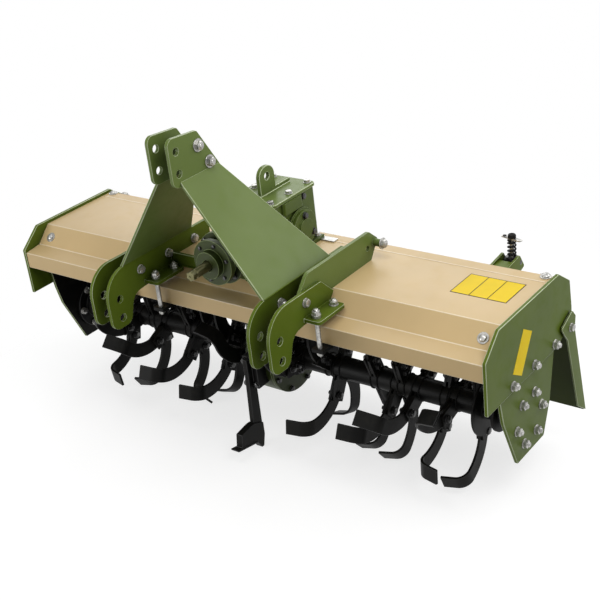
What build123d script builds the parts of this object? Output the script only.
"""Tractor-mounted rotary tiller with a central gear drive, about 2 m wide.

Frame of the model: X to the machine's right, Y rearwards (the tractor is towards -Y), Z up from the ground.
While the pieces are drawn, Y = 0 is the rotor's axis; the export moves everything so that the box of the whole
machine is centred on the origin in plan.  Heights are given from the rotor's axis by above().
"""
import os
from math import atan2, cos, degrees, hypot, radians, sin

from build123d import *

# ---------------------------------------------------------------- driving dimensions, mm and degrees
HALF_WIDTH = 990.0            # to the outer face of an end plate
END_PLATE = 12.0              # thickness of an end plate and of the bearing plate inside it
SKIN = 5.0                    # folded deck sheet
DECK_TOP = 400.0              # deck's top face above the rotor's axis
DECK_FRONT = -274.0           # deck's front skirt
SKIRT_DROP = 61.0
LEDGE_HEIGHT = 331.0
LEDGE_RISE = 8.0
LEDGE_DEPTH = 69.0
RISER_DEPTH = 60.0
DECK_REAR = 201.0             # where the flat top ends
REAR_SLOPE = (72.0, 42.0)     # rear strip, depth and fall
REAR_FLANGE = (19.0, 108.0)   # rear flange, depth and fall
EDGE_STAND = 12.0             # end plate stands this far proud of the deck

ROTOR_TUBE_R = 40.0
ROTOR_WALL = 8.0
ROTOR_INNER = 68.0            # from the middle to the inner flange of each half
ROTOR_SHORT = 100.0           # outer flange of a half, in from the end plate's outer face
ROTOR_SHAFT_R = 30.0
STUB_R = 25.0
FLANGE = 10.0
FLANGE_R = 71.0
RUNNING_FIT = 0.05            # radial clearance of a shaft in its bore
BEARING_GAP = 15.0            # outer flange to the bearing housing
BEARING_HUB_R = 62.0
BEARING_FLANGE_R = 100.0
BEARING_FLANGE = 14.0
GUARD_DISC_R = 100.0
GUARD_DISC = 6.0
GUARD_DISC_IN = 64.0          # guard disc, in from the outer flange

BLADE_WIDTH = 53.0
BLADE_THICK = 9.0
BLADE_ROOT = 48.0             # radius where the shank starts
BLADE_STRAIGHT = 72.0         # radius where the curve starts
BLADE_CURVE_R = 153.0
BLADE_SWEEP = 69.0            # degrees of curve in the plane of rotation
BLADE_BEND_R = 44.0
BLADE_BEND = 77.0             # degrees of bend out of that plane
BLADE_WING = 47.0             # straight length after the bend
HOLDER_CHEEK = 8.0
HOLDER_HALF = 28.0            # half width of a holder, across the blade
HOLDER_TOP = 120.0            # radius of the holder's outer end

CASE_HALF = 92.0              # gearbox half width
CASE_FRONT = -60.0
CASE_REAR = 174.0
CASE_TOP = 605.0
CASE_WALL = 12.0
CASE_FOOT = 14.0              # thickness of the case's foot
CASE_TOE = 26.0               # and how far it stands out
COVER = 12.0
LUG_Y = 29.0                  # lifting lug on the cover
LUG_R = 41.0
LUG_RISE = 98.0
LUG_HOLE_R = 13.0
SIDE_Y = 70.0                 # bearing covers on the sides of the case
SIDE_Z = 475.0
SIDE_R = 72.0
INPUT_HEIGHT = 480.0          # input shaft above the rotor's axis
INPUT_R = 17.4                # 1 3/8 inch shaft
JOURNAL_R = 20.0
JOURNAL_REAR = -160.0         # inner end of the shaft
NECK_R = 52.0
FLANGE_IN_R = 92.0
RING_R = 80.0
RETAINER_R = 48.0
CROSS_GAP = 6.0               # cross plate under the neck
STUB_START = -316.0           # where the thinner stub leaves the journal
INPUT_END = -401.0
DROP_R = 138.0                # round foot of the drop case
DROP_HALF = 60.0
DROP_WALL = 12.0

SHARE_REAR = -172.0           # rear edge of the share's bar
SHARE_BAR = 38.0
SHARE_HALF = 9.0
FOOT_TOP = 114.0              # from the ground
SOLE_HEIGHT = 33.0            # from the ground
FOOT_LONG = 152.0             # from the toe to the bar's rear edge
HEEL_Y = -190.0               # point that stands on the ground
FOOT_HALF = 14.0
SOLE = 8.0

HITCH_INNER = 296.0           # inner face of the inner hitch plate
HITCH_PLATE = 12.0
HITCH_GAP = 65.0              # between the two plates of a pair
HITCH_OUTER = HITCH_INNER + HITCH_PLATE + HITCH_GAP
HITCH_Y = -451.0
HITCH_FRONT = -502.0          # front edge of the hitch plates
HITCH_FOOT = 257.0            # their lowest point above the axis
HITCH_HIGH = 360.0            # upper lower-link hole above the axis
HITCH_LOW = 291.0
LOWER_PIN_R = 14.25           # hole radius, 28 mm pins
ARM_TOP = 464.0               # top edge of the hitch plates
ARM_REAR = 30.0               # rear end of an inner plate
CLAMP_Y = -300.0              # long clamp bolts, in front of the skirt
CLAMP_TOP = LEDGE_HEIGHT + 46
CLAMP_REAR = -184.0
CLAMP_WIDTH = 60.0
CLAMP_BOLT_R = 8.0
STAY_TOP = 502.0              # top edge of the long arm on the right
STAY_HOLE_R = 10.0
STAY_BOSS_R = 13.0
MAST_GAP = 70.0
MAST_PLATE = 12.0
MAST_Y = -420.0
MAST_HIGH = 916.0
MAST_LOW = 845.0
TOP_PIN_R = 12.9              # hole radius, 25 mm pin
MAST_FOOT = 803.0             # lower edge of the mast plates

HINGE_Y = 258.0               # tail board hinge
HINGE_Z = 200.0
HINGE_PIN_R = 10.0
TAIL_GAP = 5.0                # end plate to tail board side
TAIL_SHEET = 6.0
SPRING_X = 740.0
TRUNNION_Y = 366.0
TRUNNION_Z = 340.0
ROD_EYE_Y = 351.0
ROD_EYE_Z = 90.0
ROD_R = 8.0
EAR = 8.0
EAR_GAP = 52.0

ROTOR_OUTER = HALF_WIDTH - ROTOR_SHORT
GUARD_DISC_X = ROTOR_OUTER - GUARD_DISC_IN
STAND_TURN = 7.0              # the tips that stand on the ground are this far either side of straight down

# blades of the whole rotor: distance from the middle, turn of the tip from straight down, way the wing points
BLADE_STATIONS = [
    # x, turn, side
    (-752, -42, 1), (-690, -112, 1), (-616, -17, -1), (-550, -93, -1), (-425, -11, 1), (-398, -72, -1),
    (-286, STAND_TURN, -1), (-224, -62, -1), (-172, 24, -1), (-105, 57, -1),
    (105, 57, 1), (228, 20, -1), (263, -59, -1), (419, -STAND_TURN, -1), (500, -74, -1), (526, -11, -1),
    (583, -91, -1), (690, -53, 1), (724, -106, 1), (812, -27, -1),
]


# ---------------------------------------------------------------- blade geometry, used for the ground height too
def blade_end():
    """Radial and trailing distance of the middle of the blade's tip, before its width is added."""
    sweep = radians(BLADE_SWEEP)
    bend = radians(BLADE_BEND)
    run = BLADE_BEND_R * sin(bend) + BLADE_WING * cos(bend)
    out = BLADE_STRAIGHT + BLADE_CURVE_R * sin(sweep) + run * cos(sweep)
    back = BLADE_CURVE_R * (1 - cos(sweep)) + run * sin(sweep)
    return out, back


def tip_corner():
    """Radius and trailing angle of the blade's outermost corner."""
    sweep = radians(BLADE_SWEEP)
    bend = radians(BLADE_BEND)
    out, back = blade_end()
    out += BLADE_WIDTH / 2 * sin(sweep) + BLADE_THICK / 2 * sin(bend) * cos(sweep)
    back += -BLADE_WIDTH / 2 * cos(sweep) + BLADE_THICK / 2 * sin(bend) * sin(sweep)
    return hypot(out, back), degrees(atan2(back, out))


def blade_places():
    """Two opposite blades a station, where a holder fits between the drop case and the guard disc."""
    room = GUARD_DISC_X - BLADE_THICK / 2 - HOLDER_CHEEK
    places = []
    for x, turn, side in BLADE_STATIONS:
        if abs(x) <= room:
            places += [(x, turn, side), (x, turn + 180, side)]
    return places


TIP_R, TIP_LAG = tip_corner()
AXIS_Z = TIP_R * max(cos(radians(turn)) for x, turn, side in blade_places())     # it stands on its lowest tips


def above(height):
    """Height over the ground of a point given from the rotor's axis."""
    return AXIS_Z + height


# ---------------------------------------------------------------- drawing helpers
def outline(rows):
    """Closed face from rows of (u, v) or (u, v, corner radius)."""
    face = make_face(Polyline(*[(row[0], row[1]) for row in rows], close=True))
    for row in rows:
        if len(row) == 3:
            corner = min(face.vertices(), key=lambda v: hypot(v.X - row[0], v.Y - row[1]))
            face = fillet(corner, row[2])
    return face


def side_plate(rows, x0, x1):
    """Plate standing along the machine: rows of (y, height over the axis, corner radius)."""
    face = outline([(row[0], above(row[1])) + tuple(row[2:]) for row in rows])
    return extrude(Plane.YZ.offset(x0) * face, x1 - x0)


def rod_x(radius, x0, x1, y, z):
    """Cylinder along X, with its height given from the ground."""
    return extrude(Plane.YZ.offset(x0) * Pos(y, z) * Circle(radius), x1 - x0)


def rod_y(radius, y0, y1, x, z):
    """Cylinder along Y, from y0 back to y1."""
    return extrude(Plane.XZ.offset(-y1) * Pos(x, z) * Circle(radius), y1 - y0)


def rod_z(radius, z0, z1, x, y):
    return extrude(Plane.XY.offset(z0) * Pos(x, y) * Circle(radius), z1 - z0)


def block(x0, x1, y0, y1, z0, z1):
    return Pos((x0 + x1) / 2, (y0 + y1) / 2, (z0 + z1) / 2) * Box(x1 - x0, y1 - y0, z1 - z0)


def mirrored(solid):
    return mirror(solid, Plane.YZ)


# ---------------------------------------------------------------- housing
def deck_line():
    """Outer line of the deck from the skirt's foot back to the foot of the rear flange."""
    ledge_rear = DECK_FRONT + LEDGE_DEPTH
    ledge_top = LEDGE_HEIGHT + LEDGE_RISE
    slope_end = (DECK_REAR + REAR_SLOPE[0], DECK_TOP - REAR_SLOPE[1])
    return [
        (DECK_FRONT, LEDGE_HEIGHT - SKIRT_DROP),
        (DECK_FRONT, LEDGE_HEIGHT),
        (ledge_rear, ledge_top),
        (ledge_rear + RISER_DEPTH, DECK_TOP),
        (DECK_REAR, DECK_TOP),
        slope_end,
        (slope_end[0] + REAR_FLANGE[0], slope_end[1] - REAR_FLANGE[1]),
    ]


def deck():
    line = Polyline(*[(y, above(z)) for y, z in deck_line()])
    sheet = make_face(offset(line, SKIN, side=Side.RIGHT))
    inner = HALF_WIDTH - END_PLATE
    skin = extrude(Plane.YZ.offset(-inner) * sheet, 2 * inner)
    gear_opening = block(-DROP_HALF + DROP_WALL, DROP_HALF - DROP_WALL, -40, 120, above(DECK_TOP - 20), above(DECK_TOP + 5))
    return skin - gear_opening


def end_plate():
    line = deck_line()
    ledge_y = line[1][0] - 4
    bottom = 163.0
    rows = [
        (ledge_y, bottom), (ledge_y, LEDGE_HEIGHT + 10, 6),
        (line[3][0] - 49, DECK_TOP + EDGE_STAND, 10), (DECK_REAR, DECK_TOP + EDGE_STAND, 8),
        (line[5][0] + 4, line[5][1], 6), (HINGE_Y + 32, HINGE_Z + 55, 20),
        (HINGE_Y + 24, HINGE_Z - 24, 22), (HINGE_Y - 36, HINGE_Z - 22, 20), (180, bottom, 20),
    ]
    plate = side_plate(rows, HALF_WIDTH - END_PLATE, HALF_WIDTH)
    return plate - rod_x(HINGE_PIN_R + RUNNING_FIT, HALF_WIDTH - 20, HALF_WIDTH + 10, HINGE_Y, above(HINGE_Z))


def bearing_plate():
    rows = [
        (-188, 215), (-178, 139), (-163, 66, 20), (-83, -126, 6), (100, -126, 10),
        (147, -20, 20), (181, 142), (190, 215),
    ]
    return side_plate(rows, BEARING_FACE, BEARING_FACE + END_PLATE)


BEARING_FACE = HALF_WIDTH - 2 * END_PLATE     # where the bearing housing seats on its plate
BEARING_CAP = 8.0
STUB_END = BEARING_FACE - BEARING_CAP - 4


def bearing_housing():
    inner = ROTOR_OUTER + BEARING_GAP
    hub = rod_x(BEARING_HUB_R, inner, BEARING_FACE, 0, AXIS_Z)
    hub += rod_x(BEARING_FLANGE_R, BEARING_FACE - BEARING_FLANGE, BEARING_FACE, 0, AXIS_Z)
    return hub - rod_x(STUB_R + RUNNING_FIT, inner - 1, BEARING_FACE - BEARING_CAP, 0, AXIS_Z)


def square_tube(y0, y1, z0, z1, wall):
    inner = HALF_WIDTH - END_PLATE
    tube = block(-inner, inner, y0, y1, above(z0), above(z1))
    return tube - block(-inner - 1, inner + 1, y0 + wall, y1 - wall, above(z0 + wall), above(z1 - wall))


BEAM_FRONT = DECK_FRONT + SKIN
BEAM_BOTTOM = LEDGE_HEIGHT - SKIRT_DROP - 2
BEAM_TOP = LEDGE_HEIGHT - SKIN - 1


def front_beam():
    return square_tube(BEAM_FRONT, BEAM_FRONT + 58, BEAM_BOTTOM, BEAM_TOP, 6)


def rear_beam():
    return square_tube(216, 262, 298, 346, 5)


# ---------------------------------------------------------------- three-point hitch
def deck_edge():
    """Lower edge of a plate where it stands on the deck's top edge and clears the riser."""
    ledge_end, top_edge = deck_line()[2:4]
    return [(top_edge[0] - 14, DECK_TOP), (ledge_end[0] + 15, ledge_end[1] + 26)]


def hitch_plate(rear_rows, x0):
    """Hook-shaped plate: big round front corner, round heel, hollow edge up to the deck."""
    rows = [(HITCH_FRONT, HITCH_FOOT, 34), (HITCH_FRONT, ARM_TOP, 100)] + rear_rows + deck_edge()
    rows += [(HITCH_FRONT + 118, CLAMP_TOP - 27, 48), (HITCH_FRONT + 86, HITCH_FOOT, 30)]
    plate = side_plate(rows, x0, x0 + HITCH_PLATE)
    for height in (HITCH_HIGH, HITCH_LOW):
        plate -= rod_x(LOWER_PIN_R, x0 - 1, x0 + HITCH_PLATE + 1, HITCH_Y, above(height))
    return plate


def clamp_flange(x0, side):
    """Foot of a hitch plate over the ledge, standing out to one side, with the holes of its two clamp bolts."""
    z0 = above(CLAMP_TOP - HITCH_PLATE)
    x1 = x0 + side * CLAMP_WIDTH
    flange = block(min(x0, x1), max(x0, x1), CLAMP_Y - 26, CLAMP_REAR, z0, above(CLAMP_TOP))
    corners = flange.edges().filter_by(Axis.Z).group_by(Axis.X)[-1 if side > 0 else 0]
    flange = fillet(corners, 12)
    for y in (CLAMP_Y, CLAMP_REAR - 22):
        flange -= rod_z(CLAMP_BOLT_R + 0.5, z0 - 1, above(CLAMP_TOP + 1), x0 + side * CLAMP_WIDTH / 2, y)
    return flange


def hitch_inner():
    rows = [(ARM_REAR, ARM_TOP, 14), (ARM_REAR, DECK_TOP, 4)]
    return hitch_plate(rows, HITCH_INNER) + clamp_flange(HITCH_INNER, -1)


def hitch_outer():
    rows = [(deck_edge()[0][0] - 62, ARM_TOP - 5, 10)]
    return hitch_plate(rows, HITCH_OUTER) + clamp_flange(HITCH_OUTER + HITCH_PLATE, 1)


def beam_clamp(bolt_x):
    """Long bolt down the front of the skirt and the bar that it pulls up under the beam."""
    bar = block(bolt_x - 22, bolt_x + 22, CLAMP_Y - 16, BEAM_FRONT + 40, above(BEAM_BOTTOM - 12), above(BEAM_BOTTOM))
    bolt = rod_z(CLAMP_BOLT_R, above(BEAM_BOTTOM - 24), above(CLAMP_TOP + 14), bolt_x, CLAMP_Y)
    head = rod_z(14, above(CLAMP_TOP), above(CLAMP_TOP + 10), bolt_x, CLAMP_Y)
    return bar + bolt + head


def cross_plate():
    """Upright plate between the two inner hitch plates, under the input housing."""
    top = above(INPUT_HEIGHT - NECK_R - CROSS_GAP)
    return block(-HITCH_INNER, HITCH_INNER, CLAMP_REAR, CLAMP_REAR + HITCH_PLATE, above(CLAMP_TOP), top)


def stay_arm():
    """Long arm on the deck, bolted inside the right outer hitch plate, with a boss at its end."""
    x1 = HITCH_OUTER
    x0 = x1 - HITCH_PLATE
    tip_y = DECK_REAR - 97
    rows = [
        (CLAMP_Y - 30, CLAMP_TOP + 3, 8), (CLAMP_Y - 30, STAY_TOP - 62, 20), (CLAMP_Y + 30, STAY_TOP + 3, 30),
        (tip_y - 27, STAY_TOP, 10), (tip_y + 20, STAY_TOP - 40, 6), (tip_y - 7, STAY_TOP - 77, 8),
        (tip_y - 26, DECK_TOP, 10)] + deck_edge()
    arm = side_plate(rows, x0, x1)
    arm -= rod_x(STAY_HOLE_R, x0 - 1, x1 + 1, tip_y - 42, above(STAY_TOP - 54))
    return arm + rod_x(STAY_BOSS_R, x1, x1 + 30, tip_y, above(STAY_TOP - 47))


def mast_plate(x0):
    rows = [(-452, MAST_FOOT, 24), (-452, 962, 24), (-318, 950, 14), (-228, MAST_FOOT, 3)]
    plate = side_plate(rows, x0, x0 + MAST_PLATE)
    for height in (MAST_HIGH, MAST_LOW):
        plate -= rod_x(TOP_PIN_R, x0 - 1, x0 + MAST_PLATE + 1, MAST_Y, above(height))
    for y, z in MAST_BOLTS:
        plate -= rod_x(MAST_BOLT_R + 0.1, x0 - 1, x0 + MAST_PLATE + 1, y, above(z))
    return plate


MAST_BOLT_R = 10.0
MAST_BOLTS = [(-323, 904), (-281, 837)]


def mast_bolts():
    half = MAST_GAP / 2
    face = half + MAST_PLATE
    pieces = []
    for y, z in MAST_BOLTS:
        bolt = rod_x(MAST_BOLT_R, -face - 14, face + 14, y, above(z))
        spacer = rod_x(17, -half, half, y, above(z))
        heads = rod_x(15, face, face + 10, y, above(z)) + rod_x(15, -face - 10, -face, y, above(z))
        pieces.append(bolt + spacer + heads)
    return Compound(pieces)


def mast_leg():
    """Flat plate from the side of a mast plate down to the top edge of the inner hitch plate."""
    top_x = MAST_GAP / 2 + MAST_PLATE
    foot_in = HITCH_INNER
    foot_out = HITCH_INNER + HITCH_PLATE
    rise = (MAST_FOOT - ARM_TOP) / (foot_in - top_x)
    section = make_face(Polyline(
        (foot_out, above(ARM_TOP)), (foot_in, above(ARM_TOP)), (top_x, above(MAST_FOOT)),
        (top_x, above(MAST_FOOT) + rise * HITCH_PLATE), close=True))
    slab = extrude(Plane.XZ * section, 500)
    top = MAST_FOOT + rise * HITCH_PLATE
    side = outline([
        (-413, above(ARM_TOP) - 1), (-422, above(top) + 1), (-241, above(top) + 1), (-58, above(ARM_TOP) - 1)])
    return slab & extrude(Plane.YZ * side, 400)


# ---------------------------------------------------------------- gearbox
def gearbox_case():
    """Open-topped casting with a bearing boss up each side and a foot on the deck."""
    z0 = above(DECK_TOP)
    z1 = above(CASE_TOP - COVER)
    body = block(-CASE_HALF, CASE_HALF, CASE_FRONT, CASE_REAR, z0, z1)
    body = fillet(body.edges().filter_by(Axis.Z), 16)
    boss = block(-CASE_HALF - 12, CASE_HALF + 12, SIDE_Y - 88, SIDE_Y + 18, above(SIDE_Z) + SIDE_R + 4, z1)
    body += fillet(boss.edges().filter_by(Axis.Z), 10)
    body += block(-CASE_HALF - CASE_TOE, CASE_HALF + CASE_TOE, CASE_FRONT + 8, CASE_REAR - 8, z0, z0 + CASE_FOOT)
    w = CASE_WALL
    return body - block(-CASE_HALF + w, CASE_HALF - w, CASE_FRONT + w, CASE_REAR - w, z0 + w, z1 + 1)


def gearbox_cover():
    """Lid with a lifting lug and a rib behind it."""
    z0 = above(CASE_TOP - COVER)
    plate = block(-CASE_HALF - 6, CASE_HALF + 6, CASE_FRONT - 4, CASE_REAR + 4, z0, z0 + COVER)
    plate = fillet(plate.edges().filter_by(Axis.Z), 18)
    lug_top = CASE_TOP + LUG_RISE
    lug_rows = [
        (LUG_Y - LUG_R, CASE_TOP - 1), (LUG_Y - LUG_R, lug_top, LUG_R - 3),
        (LUG_Y + LUG_R, lug_top, LUG_R - 3), (LUG_Y + LUG_R, CASE_TOP - 1)]
    lug = side_plate(lug_rows, -8, 8) - rod_x(LUG_HOLE_R, -9, 9, LUG_Y, above(lug_top - 36))
    rib = block(-8, 8, LUG_Y + LUG_R - 10, CASE_REAR - 24, above(CASE_TOP - 1), above(CASE_TOP + 14))
    return plate + lug + rib


def side_cover():
    """Stepped bearing cover low on the side of the case, flat where it meets the foot."""
    y, z = SIDE_Y, above(SIDE_Z)
    cover = rod_x(SIDE_R, CASE_HALF, CASE_HALF + 10, y, z) + rod_x(SIDE_R - 8, CASE_HALF + 10, CASE_HALF + 24, y, z)
    cover += rod_x(SIDE_R / 2, CASE_HALF + 24, CASE_HALF + 30, y, z)
    foot = block(0, CASE_HALF + CASE_TOE + 9, CASE_FRONT, CASE_REAR, above(DECK_TOP), above(DECK_TOP) + CASE_FOOT)
    return cover - foot


def input_housing():
    """Cast neck from the case, its bolted flange, the bearing ring and the seal retainer."""
    z = above(INPUT_HEIGHT)
    front = STUB_START + 1
    steps = [
        # radius, y from, y to
        (NECK_R, front + 84, CASE_FRONT),
        (NECK_R + 26, CASE_FRONT - 22, CASE_FRONT),
        (FLANGE_IN_R, front + 66, front + 84),
        (NECK_R + 14, front + 44, front + 66),
        (RING_R, front + 25, front + 44),
        (RETAINER_R, front, front + 25),
    ]
    body = rod_y(*steps[0][:3], 0, z)
    for radius, y0, y1 in steps[1:]:
        body += rod_y(radius, y0, y1, 0, z)
    return body - rod_y(JOURNAL_R + RUNNING_FIT, front - 1, JOURNAL_REAR + 10, 0, z)


def input_shaft():
    z = above(INPUT_HEIGHT)
    return rod_y(INPUT_R, INPUT_END, STUB_START, 0, z) + rod_y(JOURNAL_R, STUB_START, JOURNAL_REAR, 0, z)


def drop_outline(grow):
    """Keyhole outline of the drop case, drawn in by a negative grow."""
    r = DROP_R + grow
    neck = outline([
        (-r + 6, above(30)), (CASE_FRONT - grow, above(DECK_TOP - SKIN + grow)),
        (CASE_REAR + grow, above(DECK_TOP - SKIN + grow)), (r - 6, above(30)), (r - 40, above(-30)), (-r + 40, above(-30))])
    return neck + Pos(0, AXIS_Z) * Circle(r)


def drop_case():
    half = DROP_HALF - 10
    ring = extrude(Plane.YZ.offset(-half) * drop_outline(0), 2 * half)
    return ring - extrude(Plane.YZ.offset(-half - 1) * drop_outline(-DROP_WALL), 2 * half + 2)


def drop_cover():
    half = DROP_HALF - 10
    plate = extrude(Plane.YZ.offset(half) * drop_outline(0), 10)
    hub = rod_x(52, DROP_HALF, DROP_HALF + 2, 0, AXIS_Z)
    return plate + hub - rod_x(ROTOR_SHAFT_R + RUNNING_FIT, half - 1, DROP_HALF + 5, 0, AXIS_Z)


def share_leg():
    """Flat bar in front of the drop case, on a pad that fits its round front."""
    front = SHARE_REAR - SHARE_BAR
    side = [
        (front - 8, FOOT_TOP), (SHARE_REAR, FOOT_TOP - 20), (SHARE_REAR, above(70)), (front, above(70)), (front, above(-11))]
    shank = extrude(Plane.YZ.offset(-SHARE_HALF) * outline(side), 2 * SHARE_HALF)
    pad = block(-DROP_HALF / 2, DROP_HALF / 2, SHARE_REAR - 14, 30 - DROP_R, above(-52), above(70))
    return shank + pad - extrude(Plane.YZ.offset(-DROP_HALF) * drop_outline(0), 2 * DROP_HALF)


def share_foot():
    """Thick foot under the bar on a sole that rises to the toe; a pointed heel stands on the ground."""
    y, z = SHARE_REAR, SOLE_HEIGHT
    toe = (y - FOOT_LONG, z + 22)
    cheek = [
        (toe[0] + 24, toe[1]), (toe[0] + 32, FOOT_TOP - 9), (y - SHARE_BAR - 28, FOOT_TOP), (y - SHARE_BAR - 8, FOOT_TOP),
        (y, FOOT_TOP - 20), (y, z + 12), (HEEL_Y + 6, 0), (HEEL_Y - 6, 0), (y - 44, z)]
    sole = [(y - 44, z), toe, (toe[0] - 3, toe[1] + SOLE), (y - 44, z + SOLE)]
    body = extrude(Plane.YZ.offset(-FOOT_HALF) * outline(cheek), 2 * FOOT_HALF)
    return body + extrude(Plane.YZ.offset(-FOOT_HALF - 4) * outline(sole), 2 * FOOT_HALF + 8)


# ---------------------------------------------------------------- rotor
def rotor_half(hand):
    """Tube, flanges, guard disc, stub and holders of the right (1) or left (-1) half."""
    tube = rod_x(ROTOR_TUBE_R, ROTOR_INNER, ROTOR_OUTER, 0, AXIS_Z)
    tube += rod_x(FLANGE_R, ROTOR_INNER, ROTOR_INNER + FLANGE, 0, AXIS_Z)
    tube += rod_x(FLANGE_R, ROTOR_OUTER - FLANGE, ROTOR_OUTER, 0, AXIS_Z)
    tube += rod_x(GUARD_DISC_R, GUARD_DISC_X, GUARD_DISC_X + GUARD_DISC, 0, AXIS_Z)
    tube -= rod_x(ROTOR_TUBE_R - ROTOR_WALL, ROTOR_INNER + FLANGE, ROTOR_OUTER - FLANGE, 0, AXIS_Z)
    tube += rod_x(STUB_R, ROTOR_OUTER, STUB_END, 0, AXIS_Z)
    if hand < 0:
        tube = mirrored(tube)
    for x, turn, side in blade_places():
        if x * hand > 0:
            tube += on_rotor(holder(), x, turn)
    return tube


def rotor_shaft():
    return rod_x(ROTOR_SHAFT_R, -ROTOR_INNER, ROTOR_INNER, 0, AXIS_Z)


def on_rotor(piece, x, turn):
    """Place a piece drawn pointing straight down from the axis so that its blade's tip is turned as asked."""
    return Pos(x, 0, AXIS_Z) * Rot(turn + TIP_LAG, 0, 0) * piece


def holder():
    half = BLADE_THICK / 2
    cheek = block(half, half + HOLDER_CHEEK, -HOLDER_HALF, HOLDER_HALF, -HOLDER_TOP, -ROTOR_TUBE_R + 8)
    return cheek + mirror(cheek, Plane.YZ)


def blade(side):
    """Curved shank, bend and wing, pointing down from the axis and trailing towards -Y."""
    half_w = BLADE_WIDTH / 2
    half_t = BLADE_THICK / 2
    sweep = radians(BLADE_SWEEP)
    bend = radians(BLADE_BEND)
    centre = (-BLADE_CURVE_R, -BLADE_STRAIGHT)
    outer = BLADE_CURVE_R + half_w
    inner = BLADE_CURVE_R - half_w

    def on_arc(radius, turn):
        return centre[0] + radius * cos(turn), centre[1] - radius * sin(turn)

    edges = [
        Line((half_w, -BLADE_ROOT), (half_w, -BLADE_STRAIGHT)),
        ThreePointArc(on_arc(outer, 0), on_arc(outer, sweep / 2), on_arc(outer, sweep)),
        Line(on_arc(outer, sweep), on_arc(inner, sweep)),
        ThreePointArc(on_arc(inner, sweep), on_arc(inner, sweep / 2), on_arc(inner, 0)),
        Line((-half_w, -BLADE_STRAIGHT), (-half_w, -BLADE_ROOT)),
        Line((-half_w, -BLADE_ROOT), (half_w, -BLADE_ROOT)),
    ]
    shank = extrude(Plane.YZ.offset(-half_t) * make_face(edges), BLADE_THICK)
    end_y, end_z = on_arc(BLADE_CURVE_R, sweep)
    along = Vector(0, -sin(sweep), -cos(sweep))
    across = Vector(0, cos(sweep), -sin(sweep))
    pivot = Vector(side * BLADE_BEND_R, end_y, end_z)
    section = Plane(origin=(0, end_y, end_z), x_dir=across, z_dir=along) * Rectangle(BLADE_WIDTH, BLADE_THICK)
    curl = revolve(section, Axis(pivot, across * -side), BLADE_BEND)
    tip_dir = along * cos(bend) + Vector(side * sin(bend), 0, 0)
    tip_start = pivot + Vector(-side * BLADE_BEND_R * cos(bend), 0, 0) + along * (BLADE_BEND_R * sin(bend))
    wing = extrude(Plane(origin=tip_start, x_dir=across, z_dir=tip_dir) * Rectangle(BLADE_WIDTH, BLADE_THICK), BLADE_WING)
    return shank + curl + wing


def blade_set(hand):
    shapes = {side: blade(side) for side in (1, -1)}
    return Compound([on_rotor(shapes[side], x, turn) for x, turn, side in blade_places() if x * hand > 0])


# ---------------------------------------------------------------- tail board and its spring rods
TAIL_INNER = HALF_WIDTH + TAIL_GAP
TAIL_FOOT = (372.0, -176.0)
TAIL_HEAD = (290.0, 180.0)


def tail_side():
    x1 = TAIL_INNER + TAIL_SHEET
    flange_rows = [
        (HINGE_Y - 66, HINGE_Z + 22, 10), (HINGE_Y + 14, HINGE_Z + 54, 8), (HINGE_Y + 38, HINGE_Z + 26, 8),
        TAIL_HEAD, TAIL_FOOT, (311, -130, 6), (HINGE_Y - 22, HINGE_Z - 38, 10), (HINGE_Y - 46, HINGE_Z - 8, 10)]
    flange = side_plate(flange_rows, TAIL_INNER, x1)
    flange -= rod_x(HINGE_PIN_R + RUNNING_FIT, TAIL_INNER - 1, x1 + 1, HINGE_Y, above(HINGE_Z))
    return flange


def tail_board():
    """Plain panel between the two sides."""
    rows = [TAIL_HEAD, TAIL_FOOT, (TAIL_FOOT[0] - SKIN, TAIL_FOOT[1]), (TAIL_HEAD[0] - SKIN, TAIL_HEAD[1])]
    return side_plate(rows, -TAIL_INNER, TAIL_INNER)


def board_y(height):
    """Rear face of the tail board at a height over the axis."""
    share = (height - TAIL_FOOT[1]) / (TAIL_HEAD[1] - TAIL_FOOT[1])
    return TAIL_FOOT[0] + share * (TAIL_HEAD[0] - TAIL_FOOT[0])


def tail_pin():
    x0 = HALF_WIDTH - END_PLATE - 10
    x1 = TAIL_INNER + TAIL_SHEET
    z = above(HINGE_Z)
    pin = rod_x(HINGE_PIN_R, x0, x1 + 12, HINGE_Y, z)
    return pin + rod_x(16, x1 + 0.5, x1 + 12, HINGE_Y, z) + rod_x(15, x0, HALF_WIDTH - END_PLATE, HINGE_Y, z)


EYE_HALF = 6.0
EYE_PIN_R = 8.0


def rod_lug():
    rows = [
        (board_y(ROD_EYE_Z + 34), ROD_EYE_Z + 34), (ROD_EYE_Y + 2, ROD_EYE_Z + 18, 12),
        (ROD_EYE_Y + 18, ROD_EYE_Z, 12), (ROD_EYE_Y + 2, ROD_EYE_Z - 18, 12), (board_y(ROD_EYE_Z - 34), ROD_EYE_Z - 34)]
    x0 = SPRING_X + EYE_HALF + 5
    lug = side_plate(rows, x0, x0 + 6) + side_plate(rows, 2 * SPRING_X - x0 - 6, 2 * SPRING_X - x0)
    return lug + rod_x(EYE_PIN_R, 2 * SPRING_X - x0 - 10, x0 + 10, ROD_EYE_Y, above(ROD_EYE_Z))


def spring_bracket():
    line = deck_line()
    top, foot = line[5], line[6]
    low = (top[0] + (foot[0] - top[0]) * 0.45, top[1] + (foot[1] - top[1]) * 0.45)
    rows = [top, (TRUNNION_Y - 6, TRUNNION_Z + 28, 6), (TRUNNION_Y + 24, TRUNNION_Z - 22, 6),
            (TRUNNION_Y - 6, TRUNNION_Z - 32, 4), low]
    half = EAR_GAP / 2
    ears = []
    for x0 in (SPRING_X + half, SPRING_X - half - EAR):
        ear = side_plate(rows, x0, x0 + EAR)
        ears.append(ear - rod_x(ROD_R + RUNNING_FIT, x0 - 1, x0 + EAR + 1, TRUNNION_Y, above(TRUNNION_Z)))
    return ears


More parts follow.
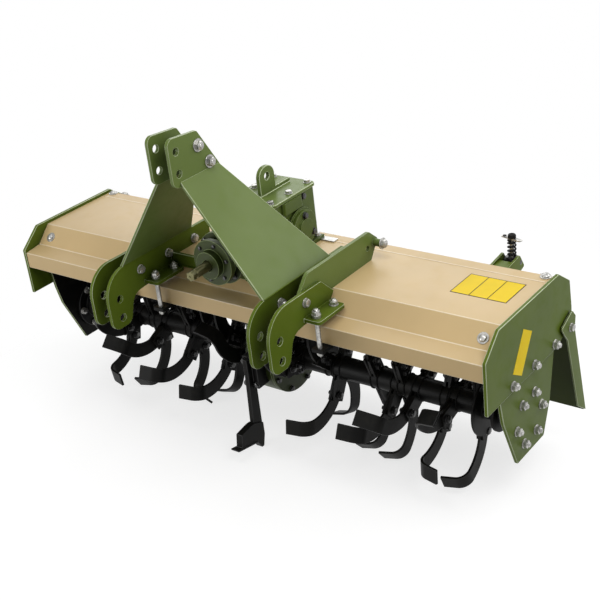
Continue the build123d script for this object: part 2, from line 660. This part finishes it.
ROD_LEAN = degrees(atan2(TRUNNION_Y - ROD_EYE_Y, TRUNNION_Z - ROD_EYE_Z))
ROD_SPAN = hypot(TRUNNION_Y - ROD_EYE_Y, TRUNNION_Z - ROD_EYE_Z)
SEAT = 16.0
SPRING_LENGTH = 72.0
SPRING_R = 15.5
WIRE_R = 3.0


def along_rod(piece):
    """Place a piece drawn about the trunnion with the rod along Z."""
    return Pos(SPRING_X, TRUNNION_Y, above(TRUNNION_Z)) * Rot(-ROD_LEAN, 0, 0) * piece


def trunnion():
    half = EAR_GAP / 2
    bar = extrude(Plane.YZ.offset(-half + 2) * Circle(14), 2 * half - 4)
    pins = extrude(Plane.YZ.offset(-half - EAR) * Circle(ROD_R), 2 * (half + EAR))
    seat = extrude(Plane.XY.offset(8) * Circle(20), SEAT - 8)
    bore = extrude(Plane.XY.offset(-30) * Circle(ROD_R + 0.6), 80)
    return along_rod(bar + pins + seat - bore)


def spring():
    body = extrude(Plane.XY.offset(SEAT) * Circle(SPRING_R + WIRE_R), SPRING_LENGTH)
    return along_rod(body - extrude(Plane.XY.offset(SEAT - 1) * Circle(SPRING_R - WIRE_R), SPRING_LENGTH + 2))


def spring_rod():
    head = SEAT + SPRING_LENGTH
    bar = extrude(Plane.XY.offset(-ROD_SPAN + 16) * Circle(ROD_R), ROD_SPAN - 16 + head + 30)
    wing = Pos(0, 0, head + 4) * Box(92, 22, 8)
    nut = extrude(Plane.XY.offset(head + 8) * RegularPolygon(14, 6), 12)
    eye = extrude(Plane.YZ.offset(-EYE_HALF) * Pos(0, -ROD_SPAN) * Circle(22), 2 * EYE_HALF)
    hole = extrude(Plane.YZ.offset(-EYE_HALF - 1) * Pos(0, -ROD_SPAN) * Circle(EYE_PIN_R + 6), 2 * EYE_HALF + 2)
    return along_rod(bar + wing + nut + eye - hole)


# ---------------------------------------------------------------- export
def both(solid):
    """One node of a piece and its mirror image."""
    return Compound([solid, mirrored(solid)])


def nodes():
    pair = [
        ("end_plate", end_plate()), ("bearing_plate", bearing_plate()), ("bearing_housing", bearing_housing()),
        ("hitch_plate_inner", hitch_inner()), ("hitch_plate_outer", hitch_outer()), ("mast_leg", mast_leg()),
        ("trunnion", trunnion()), ("spring", spring()), ("spring_rod", spring_rod()),
        ("mast_plate", mast_plate(MAST_GAP / 2)),
    ]
    made = {}
    for name, solid in pair:
        made[name + "_right"] = solid
        made[name + "_left"] = mirrored(solid)
    for name, hand in (("right", 1), ("left", -1)):
        made["rotor_" + name] = rotor_half(hand)
        made["blades_" + name] = blade_set(hand)
    clamps = [beam_clamp(x) for x in (HITCH_INNER - CLAMP_WIDTH / 2, HITCH_OUTER + HITCH_PLATE + CLAMP_WIDTH / 2)]
    ears = spring_bracket()
    made["beam_clamps"] = Compound(clamps + [mirrored(clamp) for clamp in clamps])
    made["spring_brackets"] = Compound(ears + [mirrored(ear) for ear in ears])
    made["rod_lugs"] = both(rod_lug())
    made["tail_sides"] = both(tail_side())
    made["tail_pins"] = both(tail_pin())
    made["side_covers"] = both(side_cover())
    made["drop_covers"] = both(drop_cover())
    for name, maker in [
        ("deck", deck), ("front_beam", front_beam), ("rear_beam", rear_beam), ("stay_arm", stay_arm),
        ("cross_plate", cross_plate),
        ("mast_bolts", mast_bolts), ("gearbox_case", gearbox_case), ("gearbox_cover", gearbox_cover),
        ("input_housing", input_housing), ("input_shaft", input_shaft), ("drop_case", drop_case),
        ("share_leg", share_leg), ("share_foot", share_foot), ("rotor_shaft", rotor_shaft),
        ("tail_board", tail_board),
    ]:
        made[name] = maker()
    return made


os.makedirs("parts", exist_ok=True)
machine = nodes()
box = Compound(list(machine.values())).bounding_box()
middle_y = (box.min.Y + box.max.Y) / 2
for node, solid in machine.items():
    export_step(Pos(0, -middle_y, 0) * solid, "parts/" + node + ".step")
print("axis height", round(AXIS_Z, 3), "middle", round(middle_y, 3), "rod span", round(ROD_SPAN, 3))
